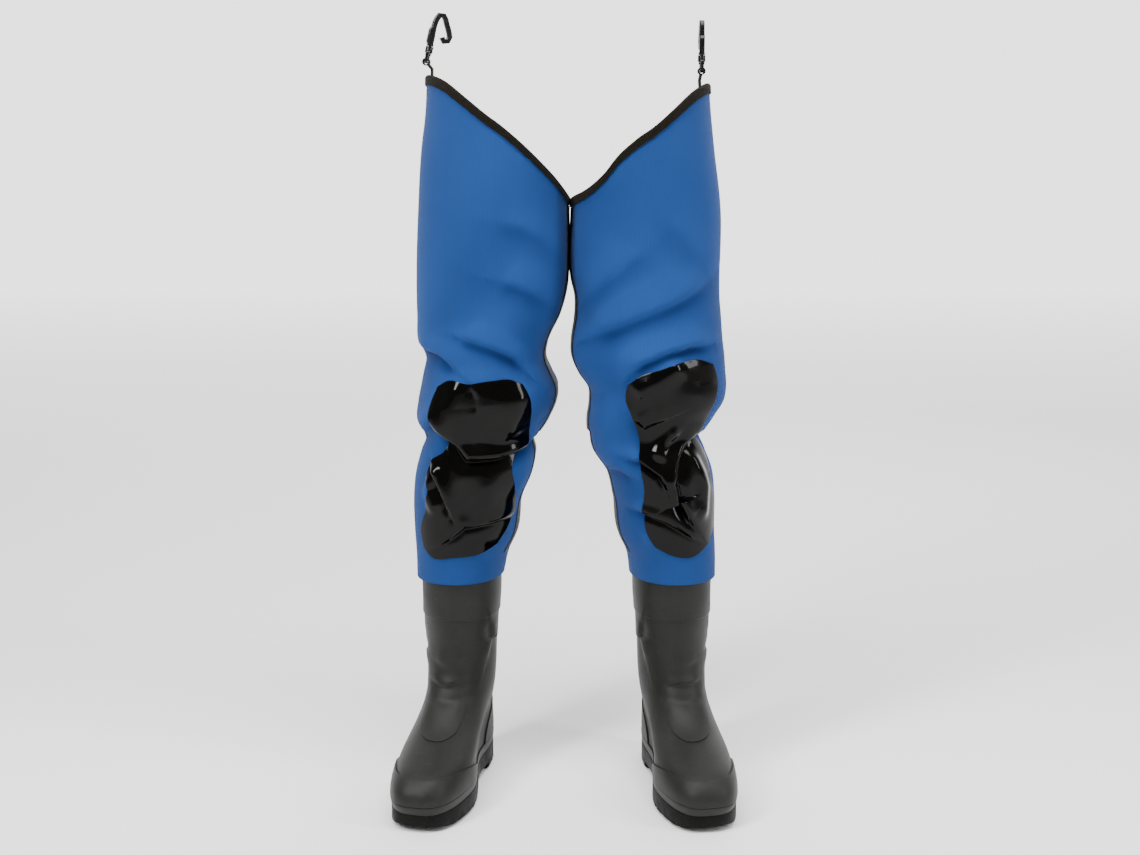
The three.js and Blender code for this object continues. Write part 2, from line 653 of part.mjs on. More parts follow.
function wader(stance) {
  const { side, sign, spread, toeOut, lean, turn } = stance;
  const mirrored = sign < 0;
  const leg = legMaker(stance);
  const place = tabPlace(stance);
  const group = new THREE.Group();

  const boot = new THREE.Group();
  boot.position.x = sign * spread;
  boot.rotation.z = sign * radians(toeOut);
  boot.add(
    meshOf(`${side}_boot_upper`, bootUpper(), bootRubber(), mirrored),
    meshOf(`${side}_insole`, insole(), insoleFelt(), mirrored),
    meshOf(`${side}_outsole`, outsole(), soleRubber(), mirrored),
    meshOf(`${side}_heel`, heelBlock(), soleRubber(), mirrored),
    meshOf(`${side}_foxing`, foxingStrip(), bootRubber(), mirrored),
    meshOf(`${side}_toe_bumper`, toeBumper(), bootRubber(), mirrored),
    meshOf(`${side}_heel_counter`, heelCounter(), bootRubber(), mirrored),
    meshOf(`${side}_instep_patch`, instepPatch(), bootRubber(), mirrored),
    meshOf(`${side}_shaft_cuff`, shaftCuff(), bootRubber(), mirrored),
  );

  const clip = new THREE.Group();
  clip.position.set(sign * place.bar.x, place.bar.y, place.bar.z);
  clip.rotation.y = -sign * radians(lean);
  const hook = meshOf(`${side}_belt_hook`, beltHook(), blackPlastic());
  hook.rotation.z = radians(turn);
  clip.add(meshOf(`${side}_clip_frame`, clipFrame(), blackPlastic()), hook);

  group.add(
    boot,
    clip,
    meshOf(`${side}_leg`, legTube(leg), neoprene(), mirrored),
    meshOf(`${side}_inseam_tape`, inseamTape(leg), blackTape(), mirrored),
    meshOf(`${side}_top_binding`, topBinding(leg), bindingTape(), mirrored),
    meshOf(`${side}_knee_patch`, kneePatch(leg), patchRubber(), mirrored),
    meshOf(`${side}_seal_tape`, sealTape(leg), blackTape(), mirrored),
    meshOf(`${side}_webbing_tab`, webbingTab(place), webbing(), mirrored),
  );
  return group;
}

const group = new THREE.Group();
group.position.set(ACROSS, FORE_AFT, 0);
STANCES.forEach((stance) => group.add(wader(stance)));

export default group;
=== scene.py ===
"""A pair of hip waders: foam-rubber legs, glossy knee patches, rubber boots, bound tops and belt hooks."""
import math
import bpy
import numpy as np
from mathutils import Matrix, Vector


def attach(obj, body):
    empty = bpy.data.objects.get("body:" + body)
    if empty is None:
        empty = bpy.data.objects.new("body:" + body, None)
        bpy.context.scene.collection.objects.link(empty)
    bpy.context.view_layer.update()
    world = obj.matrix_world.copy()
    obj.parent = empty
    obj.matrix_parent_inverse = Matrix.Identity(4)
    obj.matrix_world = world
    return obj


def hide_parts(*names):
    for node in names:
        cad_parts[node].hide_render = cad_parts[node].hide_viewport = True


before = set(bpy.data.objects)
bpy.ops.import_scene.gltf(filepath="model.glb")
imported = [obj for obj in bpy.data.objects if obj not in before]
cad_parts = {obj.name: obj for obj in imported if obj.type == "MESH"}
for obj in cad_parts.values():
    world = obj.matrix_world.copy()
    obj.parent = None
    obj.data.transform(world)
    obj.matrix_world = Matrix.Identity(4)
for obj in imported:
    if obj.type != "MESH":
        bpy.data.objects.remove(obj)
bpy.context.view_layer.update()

MM = 0.001
FULL_TURN = 2 * math.pi
WALL = 4.5  # the neoprene's thickness, in millimetres
SKIN_STEP = 0.02  # the step that finds a leg's normals, in radians and in millimetres
BOOT_STEP = 0.01  # the step that finds a boot's normals, in radians and in rows
ORIGIN = np.array([7.6, 55.4, 0.0])  # from the plane where the legs meet and the boots' axes, in millimetres
SIDES = {"right": -1, "left": 1}  # the wearer's right wader stands on the -X side

# ---------------------------------------------------------------- camera and light


CAMERA_AWAY = 2200.0
CAMERA_HEIGHT = 923.8
CAMERA_TILT = 11.2
CAMERA_LENS = 52.58


def add_camera():
    """A camera at hip height, 2.2 m in front of the legs, tilted a little down."""
    place = (ORIGIN + np.array([0.0, -CAMERA_AWAY, CAMERA_HEIGHT])) * MM
    bpy.ops.object.camera_add(location=place, rotation=(math.radians(90 - CAMERA_TILT), 0, 0))
    camera = bpy.context.object
    camera.data.lens = CAMERA_LENS
    camera.data.sensor_width = 36
    bpy.context.scene.camera = camera


def add_light(name, place, size, power, target=(0, 0, 0.5)):
    bpy.ops.object.light_add(type="AREA", location=place)
    light = bpy.context.object
    light.name = name
    light.data.shape = "RECTANGLE"
    light.data.size, light.data.size_y = size
    light.data.energy = power
    aim = Vector(target) - Vector(place)
    light.rotation_euler = aim.to_track_quat("-Z", "Y").to_euler()


def add_sky():
    """A pale studio: bright behind the waders, dimmer in front of them, so that glossy faces stay dark."""
    world = bpy.data.worlds.new("studio")
    bpy.context.scene.world = world
    world.use_nodes = True
    tree = world.node_tree
    direction = tree.nodes.new("ShaderNodeTexCoord")
    parts = tree.nodes.new("ShaderNodeSeparateXYZ")
    strength = tree.nodes.new("ShaderNodeMapRange")
    strength.interpolation_type = "SMOOTHSTEP"
    for key, value in {"From Min": 0.05, "From Max": 0.85, "To Min": 0.34, "To Max": 2.6}.items():
        strength.inputs[key].default_value = value
    tree.links.new(direction.outputs["Generated"], parts.inputs["Vector"])
    tree.links.new(parts.outputs["Y"], strength.inputs["Value"])
    tree.links.new(strength.outputs["Result"], tree.nodes["Background"].inputs["Strength"])
    tree.nodes["Background"].inputs["Color"].default_value = (1, 1, 1, 1)


def floor_paint(m):
    """White paint that glows more and more further back, a painted light, so that the floor runs into the
    sky.
    """
    # painted light: emission on the floor, rising with the distance behind the waders
    glow = m.ramp(m.axis(m.place(), "Y"), 0.6, 6.0) * 1.9
    m.surface((0.95, 0.95, 0.95), 0.9, specular=0.0, glow=1.0)
    m.put(m.shader.inputs["Emission Color"], m.blend(glow * 0.5, (0, 0, 0), (1.9, 1.9, 1.9)))


def add_studio():
    add_camera()
    add_sky()
    add_light("key_softbox", (-1.5, -1.5, 2.1), (0.45, 1.3), 66)
    add_light("fill_softbox", (1.9, -0.9, 1.4), (0.35, 1.7), 30)
    add_light("top_softbox", (0.0, -0.8, 2.7), (2.0, 0.9), 80)
    add_light("rim_softbox", (0.9, 2.0, 1.6), (1.8, 1.4), 16)
    bpy.ops.mesh.primitive_plane_add(size=60, location=(0, 0, 0))
    floor = bpy.context.object
    floor.name = "floor"
    floor.data.materials.append(paint("floor_paint", floor_paint))


# ---------------------------------------------------------------- material nodes


class Link:
    """A socket or a number in a material, with arithmetic that adds Math nodes."""

    def __init__(self, maker, socket):
        self.maker = maker
        self.socket = socket

    def _math(self, operation, *values):
        return self.maker.node("ShaderNodeMath", {"operation": operation}, dict(enumerate(values)))

    def __add__(self, other):
        return self._math("ADD", self, other)

    __radd__ = __add__

    def __mul__(self, other):
        return self._math("MULTIPLY", self, other)

    __rmul__ = __mul__

    def __sub__(self, other):
        return self._math("SUBTRACT", self, other)

    def __rsub__(self, other):
        return self._math("SUBTRACT", other, self)

    def sine(self):
        return self._math("SINE", self)


class Maker:
    """Builds one material's nodes."""

    def __init__(self, name):
        self.material = bpy.data.materials.new(name)
        self.material.use_nodes = True
        self.tree = self.material.node_tree
        self.shader = self.tree.nodes["Principled BSDF"]

    def put(self, socket, value):
        if isinstance(value, Link):
            self.tree.links.new(value.socket, socket)
        else:
            socket.default_value = value

    def node(self, kind, settings, inputs, output=0):
        made = self.tree.nodes.new(kind)
        for key, value in settings.items():
            setattr(made, key, value)
        for key, value in inputs.items():
            self.put(made.inputs[key], value)
        return Link(self, made.outputs[output])

    def place(self, scale=(1, 1, 1), source="Object"):
        """Object coordinates or the piece's own UV map, in metres, scaled."""
        spot = self.node("ShaderNodeTexCoord", {}, {}, source)
        return self.node("ShaderNodeMapping", {}, {"Vector": spot, "Scale": scale})

    def axis(self, vector, name):
        return self.node("ShaderNodeSeparateXYZ", {}, {"Vector": vector}, name)

    def noise(self, vector, scale, detail=3.0, roughness=0.55):
        inputs = {"Vector": vector, "Scale": scale, "Detail": detail, "Roughness": roughness}
        return self.node("ShaderNodeTexNoise", {}, inputs, "Fac")

    def cells(self, vector, scale):
        return self.node("ShaderNodeTexVoronoi", {}, {"Vector": vector, "Scale": scale}, "Distance")

    def blend(self, share, first, second):
        """A colour between two, by a share from 0 to 1."""
        made = self.tree.nodes.new("ShaderNodeMix")
        made.data_type = "RGBA"
        self.put(made.inputs[0], share)
        for socket, value in zip(made.inputs[6:8], (first, second)):
            self.put(socket, value if isinstance(value, Link) else (*value, 1))
        return Link(self, made.outputs[2])

    def ramp(self, value, low, high):
        """0 below low and 1 above high."""
        inputs = {"Value": value, "From Min": low, "From Max": high}
        return self.node("ShaderNodeMapRange", {"clamp": True}, inputs)

    def relief(self, height, distance, strength=1.0):
        """A bump of so many metres feeds the shader's normal."""
        inputs = {"Height": height, "Distance": distance, "Strength": strength}
        self.put(self.shader.inputs["Normal"], self.node("ShaderNodeBump", {}, inputs, "Normal"))

    def surface(self, color, roughness, **fixed):
        self.put(self.shader.inputs["Base Color"], color if isinstance(color, Link) else (*color, 1))
        self.put(self.shader.inputs["Roughness"], roughness)
        for key, value in fixed.items():
            self.put(self.shader.inputs[SHADER_SOCKETS[key]], value)


SHADER_SOCKETS = {
    "sheen": "Sheen Weight",
    "sheen_roughness": "Sheen Roughness",
    "coat": "Coat Weight",
    "coat_roughness": "Coat Roughness",
    "specular": "Specular IOR Level",
    "glow": "Emission Strength",
}


def paint(name, recipe):
    maker = Maker(name)
    recipe(maker)
    return maker.material


def neoprene(m):
    """Blue jersey bonded to foam: fine knitted ribs, a little mottling, a soft sheen, and painted shade that
    darkens the cloth deep in its folds.
    """
    cloth = m.place(source="UV")
    across = m.axis(cloth, "X")
    along = m.axis(cloth, "Y")
    rib = (across * (2 * math.pi / 0.0014)).sine()
    loop = (along * (2 * math.pi / 0.0011) + rib * 1.2).sine()
    knit = rib * 0.5 + loop * 0.5
    mottle = m.noise(m.place(), 9.0, 4.0)
    pile = m.noise(cloth, 900.0, 2.0)
    deep = m.blend(mottle, (0.0066, 0.034, 0.142), (0.0100, 0.046, 0.180))
    thread = m.ramp(knit + pile * 1.2, 0.2, 1.4)
    face = m.blend(thread * 0.6, deep, (0.021, 0.074, 0.240))
    # painted shade: the cloth's colour turns nearly black where it lies deep in a fold
    painted_fold_shade = m.node("ShaderNodeAttribute", {"attribute_name": "painted_fold_shade"}, {}, "Fac")
    color = m.blend(painted_fold_shade * 0.9, face, (0.0016, 0.010, 0.056))
    m.surface(color, 0.76 + pile * 0.12, sheen=0.05, sheen_roughness=0.4, specular=0.08)
    m.relief(knit * 0.5 + pile * 0.5, 0.00022)


def patch_rubber(m):
    """Glossy black coating with the faint grain of the cloth under it, and rubbed streaks."""
    spot = m.place()
    grain = m.noise(spot, 420.0, 2.0)
    rub = m.ramp(m.noise(spot, 26.0, 5.0), 0.5, 0.72)
    color = m.blend(rub, (0.0005, 0.0004, 0.0003), (0.0022, 0.0016, 0.0012))
    m.surface(color, 0.12 + rub * 0.08, coat=0.16, coat_roughness=0.04, specular=0.06)
    m.relief(grain * 0.5 + m.noise(spot, 60.0, 2.0), 0.0003, 0.6)


def boot_rubber(m):
    """Dark grey moulded rubber, dulled by bloom, with fine scuffs and a mould's fine grain."""
    spot = m.place()
    bloom = m.noise(spot, 14.0, 5.0)
    scuff = m.ramp(m.noise(m.place((60, 60, 300)), 1.0, 6.0), 0.6, 0.78)
    low = 1.0 - m.ramp(m.axis(spot, "Z"), 0.02, 0.16)
    base = m.blend(bloom, (0.0062, 0.0066, 0.0058), (0.0128, 0.0134, 0.0116))
    color = m.blend(scuff * 0.3 + low * bloom * 0.25, base, (0.034, 0.034, 0.029))
    m.surface(color, 0.40 + bloom * 0.2, specular=0.20)
    m.relief(m.noise(spot, 700.0, 2.0) + m.cells(spot, 160.0) * 0.5, 0.00016)


def sole_rubber(m):
    spot = m.place()
    dust = m.ramp(m.noise(spot, 40.0, 5.0), 0.45, 0.75)
    color = m.blend(dust, (0.0016, 0.0016, 0.0014), (0.0065, 0.006, 0.005))
    m.surface(color, 0.55 + dust * 0.25, specular=0.12)
    m.relief(m.noise(spot, 500.0, 3.0), 0.0003)


def seam_tape(m):
    spot = m.place()
    color = m.blend(m.noise(spot, 60.0), (0.0018, 0.0019, 0.003), (0.0045, 0.005, 0.007))
    m.surface(color, 0.45 + m.noise(spot, 200.0) * 0.2, specular=0.15)
    m.relief(m.noise(spot, 600.0), 0.0002)


def woven(pitch, dark, light):
    """Black weave: warp and weft cross at the pitch, in metres."""

    def recipe(m):
        cloth = m.place(source="UV")
        warp = (m.axis(cloth, "X") * (math.pi / pitch)).sine()
        weft = (m.axis(cloth, "Y") * (math.pi / pitch)).sine()
        weave = warp * weft
        fuzz = m.noise(cloth, 1500.0, 2.0)
        share = m.ramp(weave * 0.6 + fuzz, 0.1, 0.9)
        m.surface(m.blend(share, dark, light), 0.85, sheen=0.02, specular=0.08)
        m.relief(weave + fuzz * 0.6, pitch * 0.35)

    return recipe


def black_plastic(m):
    spot = m.place()
    grain = m.noise(spot, 900.0, 2.0)
    wear = m.ramp(m.noise(spot, 120.0, 4.0), 0.55, 0.8)
    color = m.blend(wear, (0.0015, 0.0015, 0.0017), (0.008, 0.008, 0.0085))
    m.surface(color, 0.26 + wear * 0.2, specular=0.3)
    m.relief(grain, 0.00008)


def felt(m):
    spot = m.place()
    fluff = m.noise(spot, 350.0, 5.0)
    m.surface(m.blend(fluff, (0.02, 0.02, 0.019), (0.06, 0.058, 0.055)), 0.95)
    m.relief(fluff, 0.0006)


FINISHES = {
    "neoprene": neoprene,
    "seam_tape": seam_tape,
    "binding": woven(0.0011, (0.0010, 0.0008, 0.0005), (0.0125, 0.0090, 0.0048)),
    "patch_rubber": patch_rubber,
    "boot_rubber": boot_rubber,
    "sole_rubber": sole_rubber,
    "insole_felt": felt,
    "webbing": woven(0.0016, (0.0025, 0.0025, 0.002), (0.016, 0.015, 0.012)),
    "black_plastic": black_plastic,
}
add_studio()
PAINTS = {slot: paint(slot, recipe) for slot, recipe in FINISHES.items()}

# ---------------------------------------------------------------- the surfaces


def spline(rows, x):
    """A smooth curve through rows of (place, values...), at places x."""
    rows = np.asarray(rows, float)
    keys, values = rows[:, 0], rows[:, 1:]
    slopes = np.gradient(values, keys, axis=0)
    i = np.clip(np.searchsorted(keys, x, side="right") - 1, 0, len(keys) - 2)
    h = (keys[i + 1] - keys[i])[..., None]
    t = np.clip((x - keys[i]) / h[..., 0], 0, 1)[..., None]
    a = 2 * t**3 - 3 * t**2 + 1
    b = t**3 - 2 * t**2 + t
    c = t**3 - t**2
    return a * values[i] + b * h * slopes[i] + (1 - a) * values[i + 1] + c * h * slopes[i + 1]


def normals(surface, u, v, step):
    """Unit normals of a surface by small steps along both of its places.

    They aren't finite where the surface stops, because both steps along it then end at one point.
    """
    along_u = surface(u + step, v) - surface(u - step, v)
    along_v = surface(u, v + step) - surface(u, v - step)
    normal = np.cross(along_u, along_v)
    return normal / np.linalg.norm(normal, axis=-1, keepdims=True)


def place_on(side, points):
    """Points of a left wader's surface, in millimetres, as places of one side's wader in metres."""
    return (points * np.array([SIDES[side], 1, 1]) + ORIGIN) * MM


# The legs' outlines in millimetres: height, outer and inner X from the meeting plane, front and back Y,
# and turn in degrees.
LEG_OUTLINES = {
    "right": [
        (284, 207, 92, -65, 73, 14.5),
        (318, 208, 84, -67, 74, 13),
        (345, 210, 72, -72, 76, 9),
        (400, 210, 63, -80, 78, 4),
        (432, 207, 51, -84, 76, 0),
        (462, 200, 46, -84, 74, 0),
        (485, 194, 46, -84, 73, 0),
        (505, 205, 31, -92, 77, 0),
        (530, 204, 18, -98, 82, 0),
        (548, 200, 16, -98, 84, 0),
        (568, 195, 24, -95, 82, 0),
        (587, 191, 31, -92, 82, 0),
        (607, 199, 29, -94, 86, 0),
        (645, 201, 13, -95, 90, 0),
        (685, 202, 3, -94, 95, 0),
        (707, 202, 1.35, -94, 98, 0),
        (786, 199, 1.35, -94, 101, 0),
        (860, 194, 2, -93, 102, 0),
        (905, 188, 3, -91, 102, 0),
        (990, 184, 3, -88, 101, 0),
    ],
    "left": [
        (284, 197.2, 82.5, -65, 73, 12),
        (318, 197, 77, -67, 74, 10),
        (345, 196, 65, -72, 76, 7),
        (400, 194, 57, -80, 78, 3),
        (438, 189, 48, -86, 76, 0),
        (464, 179, 31, -86, 74, 0),
        (485, 174, 26, -84, 73, 0),
        (508, 190, 24, -90, 77, 0),
        (528, 204, 26, -95, 82, 0),
        (548, 208, 25, -97, 84, 0),
        (568, 207, 12, -98, 84, 0),
        (590, 206, 3, -98, 85, 0),
        (612, 204, 2.5, -95, 88, 0),
        (640, 202, 6, -94, 90, 0),
        (668, 199, 6, -94, 95, 0),
        (690, 198, 1.35, -94, 98, 0),
        (786, 197, 1.35, -94, 101, 0),
        (860, 188, 2, -93, 102, 0),
        (905, 183, 3, -91, 102, 0),
        (990, 177, 3, -88, 101, 0),
    ],
}

# Folds: a line of (place across from -1 at the inner edge to 1 at the outer, height), how deep it is
# and how wide. A negative depth is a ridge. The front's folds come first, then the back's.
FRONT_FOLDS = {
    "right": [
        ([(0.95, 487), (0.67, 508), (0.38, 484), (0.12, 462), (-0.35, 464), (-0.8, 474), (-1, 486)], 15, 8),
        ([(0.72, 452), (0.55, 428), (0.3, 404), (0.12, 384)], 9, 5.5),
        ([(0.62, 322), (0.36, 336), (0.1, 352), (-0.1, 369), (-0.45, 374), (-0.9, 380)], 9, 6),
        ([(0.97, 604), (0.66, 598), (0.38, 577)], 9, 8),
        ([(0.3, 622), (0.12, 618), (-0.2, 607), (-0.45, 596), (-0.66, 574)], 9, 8),
        ([(-0.1, 694), (-0.32, 688), (-0.52, 680), (-0.8, 662)], 8, 13),
        ([(0.0, 770), (-0.35, 762), (-0.62, 748), (-0.85, 722)], 8.5, 14),
        ([(0.18, 562), (0.1, 545), (0.05, 525)], 4, 7),
        ([(0.4, 552), (0.42, 530), (0.3, 505)], -4, 13),
        ([(-0.4, 540), (-0.42, 505)], -6, 20),
        ([(0.65, 440), (0.7, 415), (0.5, 395)], -4, 9),
        ([(-0.3, 420), (-0.35, 400)], -4, 18),
        ([(0.05, 340), (-0.5, 345)], -4, 10),
    ],
    "left": [
        (
            [
                *[(1.0, 486), (0.76, 492), (0.58, 474), (0.4, 455)],
                *[(0.2, 430), (0.18, 405), (0.3, 380), (0.55, 352)],
            ],
            13,
            8,
        ),
        ([(-0.5, 462), (-0.19, 459), (0.0, 440), (0.03, 422)], 8, 5.5),
        ([(-0.7, 390), (-0.45, 387), (-0.1, 378), (0.3, 356), (0.62, 338)], 9, 6),
        ([(-0.3, 574), (-0.1, 590), (0.2, 604), (0.5, 611), (0.8, 610)], 11, 7.5),
        ([(-0.78, 618), (-0.45, 634), (-0.15, 648), (0.39, 671), (0.86, 697)], 9.5, 13),
        ([(-0.86, 664), (-0.4, 700), (0.02, 738)], 6.5, 15),
        ([(-0.95, 782), (-0.72, 800), (-0.4, 822)], 6, 14),
        ([(0.1, 780), (0.45, 750), (0.7, 715)], 4.5, 17),
        ([(-0.2, 553), (0.05, 568), (0.25, 582)], -6, 11),
        ([(0.15, 470), (0.35, 496)], -6, 9),
        ([(0.7, 455), (0.72, 420), (0.62, 390)], -6, 12),
        ([(-0.35, 520), (-0.1, 505), (0.2, 520)], 4, 9),
        ([(-0.3, 345), (-0.5, 350)], -5, 9),
        ([(-0.95, 440), (-0.7, 444), (-0.5, 436)], 5, 8),
    ],
}
BACK_FOLDS = [
    ([(-0.95, 545), (-0.4, 532), (0.2, 536), (0.95, 552)], 7, 9),
    ([(-1.0, 488), (-0.4, 476), (0.3, 480), (1.0, 490)], 12, 9),
    ([(-0.9, 430), (-0.2, 424), (0.6, 434)], 7, 8),
    ([(-0.7, 372), (0.0, 362), (0.8, 376)], 5, 8),
    ([(-0.6, 640), (0.1, 622), (0.7, 634)], 5, 13),
    ([(-0.5, 720), (0.3, 742)], 3.5, 20),
]
UNROLL = 86.0  # a leg's mean radius


def fold_lines(side):
    lines = []
    for back, folds in ((False, FRONT_FOLDS[side]), (True, BACK_FOLDS)):
        for points, depth, width in folds:
            across, height = np.array(points, float).T
            angle = np.arcsin(np.clip(across, -1, 1))
            if back:
                angle = math.pi - angle
            lines.append((np.stack([angle * UNROLL, height], 1), depth, width))
    return lines


FOLD_LINES = {side: fold_lines(side) for side in SIDES}


def groove(flat, line, depth, width):
    """The push of one fold at unrolled places: in below its line, with the cloth rolling out above it."""
    nearest = np.full(flat.shape[:-1], 1e9)
    above = np.zeros(flat.shape[:-1])
    ends = np.zeros(flat.shape[:-1])
    for k, (a, b) in enumerate(zip(line[:-1], line[1:])):
        run = b - a
        t = ((flat - a) @ run) / (run @ run)
        clipped = np.clip(t, 0, 1)
        gap = flat - (a + clipped[..., None] * run)
        distance = np.linalg.norm(gap, axis=-1)
        closer = distance < nearest
        cross = run[0] * gap[..., 1] - run[1] * gap[..., 0]
        side = np.sign(cross) * (1 if run[0] >= 0 else -1)
        nearest = np.where(closer, distance, nearest)
        above = np.where(closer, side, above)
        place = (k + clipped) / (len(line) - 1)
        ends = np.where(closer, place, ends)
    fade = np.clip(np.minimum(ends, 1 - ends) * 4, 0, 1)
    fade = 0.25 + 0.75 * fade * fade * (3 - 2 * fade)
    s = nearest * above / width
    if depth < 0:
        return -depth * np.exp(-s * s)
    over = 1 / (1 + np.exp(-np.clip(5 * s, -40, 40)))
    roll = 0.62 * over * np.exp(-((s / 2.5) ** 2))
    hollow = 0.58 * (1 - over) * np.exp(-((s / 1.5) ** 2))
    return depth * fade * (roll - hollow)


def leg_push(side, angle, height):
    """How far folds and slack push the leg's skin out, in millimetres."""
    push = np.zeros(np.broadcast(angle, height).shape)
    for wrap in (-FULL_TURN, 0, FULL_TURN):
        flat = np.stack(np.broadcast_arrays((angle + wrap) * UNROLL, height), -1)
        for line, depth, width in FOLD_LINES[side]:
            push += groove(flat, line, depth, width)
    seed = 0.0 if side == "left" else 1.7
    slack = np.sin(3 * angle + height / 47 + seed) + np.sin(2 * angle - height / 61 + 2.1 * seed)
    slack += 0.6 * np.sin(5 * angle + height / 29 - seed)
    loose = np.clip((height - 330) / 60, 0, 1) * np.clip((840 - height) / 200, 0.25, 1)
    inner = np.clip(1 + np.sin(angle), 0.0, 1.0) ** 0.5
    high = np.clip((height - 640) / 50, 0, 1)
    hold = 1 - high * (1 - np.clip(inner * 1.6 - 0.25, 0, 1))
    return (push + 0.8 * slack) * loose * hold


def leg_skin(side):
    """The leg's outer face: angle from the front towards the outer side, and height in millimetres."""
    rows = LEG_OUTLINES[side]

    def smooth(angle, height):
        angle, height = np.broadcast_arrays(angle, height)
        outer, inner, front, back, turn = np.moveaxis(spline(rows, height), -1, 0)
        across, forward = np.sin(angle), np.cos(angle)
        half_wide, half_deep = (outer - inner) / 2, (back - front) / 2
        x = half_wide * np.sign(across) * np.abs(across) ** 0.94
        y = -half_deep * np.sign(forward) * np.abs(forward) ** 0.94
        t = np.radians(turn)
        middle = (outer + inner) / 2
        turned_x = middle + x * np.cos(t) - y * np.sin(t)
        turned_y = (front + back) / 2 + x * np.sin(t) + y * np.cos(t)
        return np.stack([turned_x, turned_y, height], -1)

    def skin(angle, height):
        push = leg_push(side, angle, height)
        return smooth(angle, height) + normals(smooth, angle, height, SKIN_STEP) * push[..., None]

    return skin


LEG_SKINS = {side: leg_skin(side) for side in SIDES}
HEM = 286.5
RIMS = {  # the rim's height over the place across the front, from the crotch to the outer peak
    "right": [
        *[(-1, 799), (-0.8, 823), (-0.6, 843), (-0.38, 863), (-0.12, 884)],
        *[(0.15, 904), (0.42, 923), (0.7, 941), (1, 953)],
    ],
    "left": [
        *[(-1, 797), (-0.8, 806), (-0.55, 826), (-0.36, 848), (-0.12, 868)],
        *[(0.15, 887), (0.42, 907), (0.7, 927), (1, 943)],
    ],
}
BACK_DROP = 24.0  # how much lower the rim is behind than in front


def rim_height(side, angle):
    front = spline(RIMS[side], np.sin(angle))[..., 0]
    return front - BACK_DROP * (1 - np.cos(angle)) / 2 * np.cos(angle / 2 + math.pi / 2) ** 2


# ---------------------------------------------------------------- mesh helpers


def deselect():
    bpy.ops.object.select_all(action="DESELECT")


def take(piece):
    deselect()
    piece.select_set(True)
    bpy.context.view_layer.objects.active = piece


def finish_modifiers(piece):
    take(piece)
    for modifier in list(piece.modifiers):
        bpy.ops.object.modifier_apply(modifier=modifier.name)


def smooth_shade(piece, degrees=40):
    take(piece)
    bpy.ops.object.shade_smooth_by_angle(angle=math.radians(degrees))


def hand_over(piece, side, part, body=None):
    """Names a finished piece, and says what it rides on, what it stands for and its finish."""
    node = f"{side}_{part}"
    piece.name = f"{node}_look"
    slot = SLOTS[part]
    piece.data.materials.clear()
    piece.data.materials.append(PAINTS[slot])
    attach(piece, body or f"{side}_wader")
    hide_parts(node)


SLOTS = {
    "leg": "neoprene",
    "inseam_tape": "seam_tape",
    "top_binding": "binding",
    "knee_patch": "patch_rubber",
    "seal_tape": "seam_tape",
    "boot_upper": "boot_rubber",
    "insole": "insole_felt",
    "outsole": "sole_rubber",
    "heel": "sole_rubber",
    "foxing": "boot_rubber",
    "toe_bumper": "boot_rubber",
    "heel_counter": "boot_rubber",
    "instep_patch": "boot_rubber",
    "shaft_cuff": "boot_rubber",
    "webbing_tab": "webbing",
    "clip_frame": "black_plastic",
    "belt_hook": "black_plastic",
}


def cloth_grid(side, name, shape, columns, rows, size, weld=True, shade=None):
    """A grid shaped over a surface: shape takes places from 0 to 1 across and up, and gives millimetres.

    shade says how deep in a fold each place is; the cloth's material reads it to paint shade into the folds.
    """
    deselect()
    bpy.ops.mesh.primitive_grid_add(x_subdivisions=columns, y_subdivisions=rows, size=1, calc_uvs=True)
    piece = bpy.context.object
    piece.name = name
    flat = np.empty(len(piece.data.vertices) * 3)
    piece.data.vertices.foreach_get("co", flat)
    u, v = flat.reshape(-1, 3)[:, 0] + 0.5, flat.reshape(-1, 3)[:, 1] + 0.5
    piece.data.vertices.foreach_set("co", place_on(side, shape(u, v)).ravel())
    if shade:
        # painted shade: each place's fold depth, which the material darkens the colour by
        painted_fold_shade = piece.data.attributes.new("painted_fold_shade", "FLOAT", "POINT")
        painted_fold_shade.data.foreach_set("value", shade(u, v))
    uv = np.empty(len(piece.data.loops) * 2)
    layer = piece.data.uv_layers.active.data
    layer.foreach_get("uv", uv)
    layer.foreach_set("uv", (uv.reshape(-1, 2) * np.array(size)).ravel())
    if SIDES[side] < 0:
        piece.data.flip_normals()
    bpy.ops.object.mode_set(mode="EDIT")
    bpy.ops.mesh.select_all(action="SELECT")
    if weld:
        bpy.ops.mesh.remove_doubles(threshold=1e-5)
    bpy.ops.object.mode_set(mode="OBJECT")
    return piece


def thicken(piece, thickness, offset, round_edge=0.0, segments=2):
    """Gives a sheet its thickness, in millimetres, and rounds its cut edge."""
    solidify = piece.modifiers.new("thickness", "SOLIDIFY")
    solidify.thickness = thickness * MM
    solidify.offset = offset
    solidify.use_even_offset = False
    if round_edge:
        bevel = piece.modifiers.new("edge", "BEVEL")
        bevel.width = round_edge * MM
        bevel.segments = segments
        bevel.limit_method = "ANGLE"
        bevel.angle_limit = math.radians(50)
    finish_modifiers(piece)


# ---------------------------------------------------------------- the legs


def make_leg(side):
    skin = LEG_SKINS[side]

    def shape(u, v):
        angle = FULL_TURN * u
        top = rim_height(side, angle) - 0.5
        return skin(angle, HEM + (top - HEM) * v)

    # how deep in a fold each place is, which the cloth's colour darkens by as painted shade
    def shade(u, v):
        angle = FULL_TURN * u
        top = rim_height(side, angle)
        return np.clip((1.2 - leg_push(side, angle, HEM + (top - HEM) * v)) / 7, 0, 1)

    leg = cloth_grid(side, "leg", shape, 180, 190, (0.58, 0.6), shade=shade)
    thicken(leg, WALL, -1, 0.9)
    smooth_shade(leg, 60)
    hand_over(leg, side, "leg")


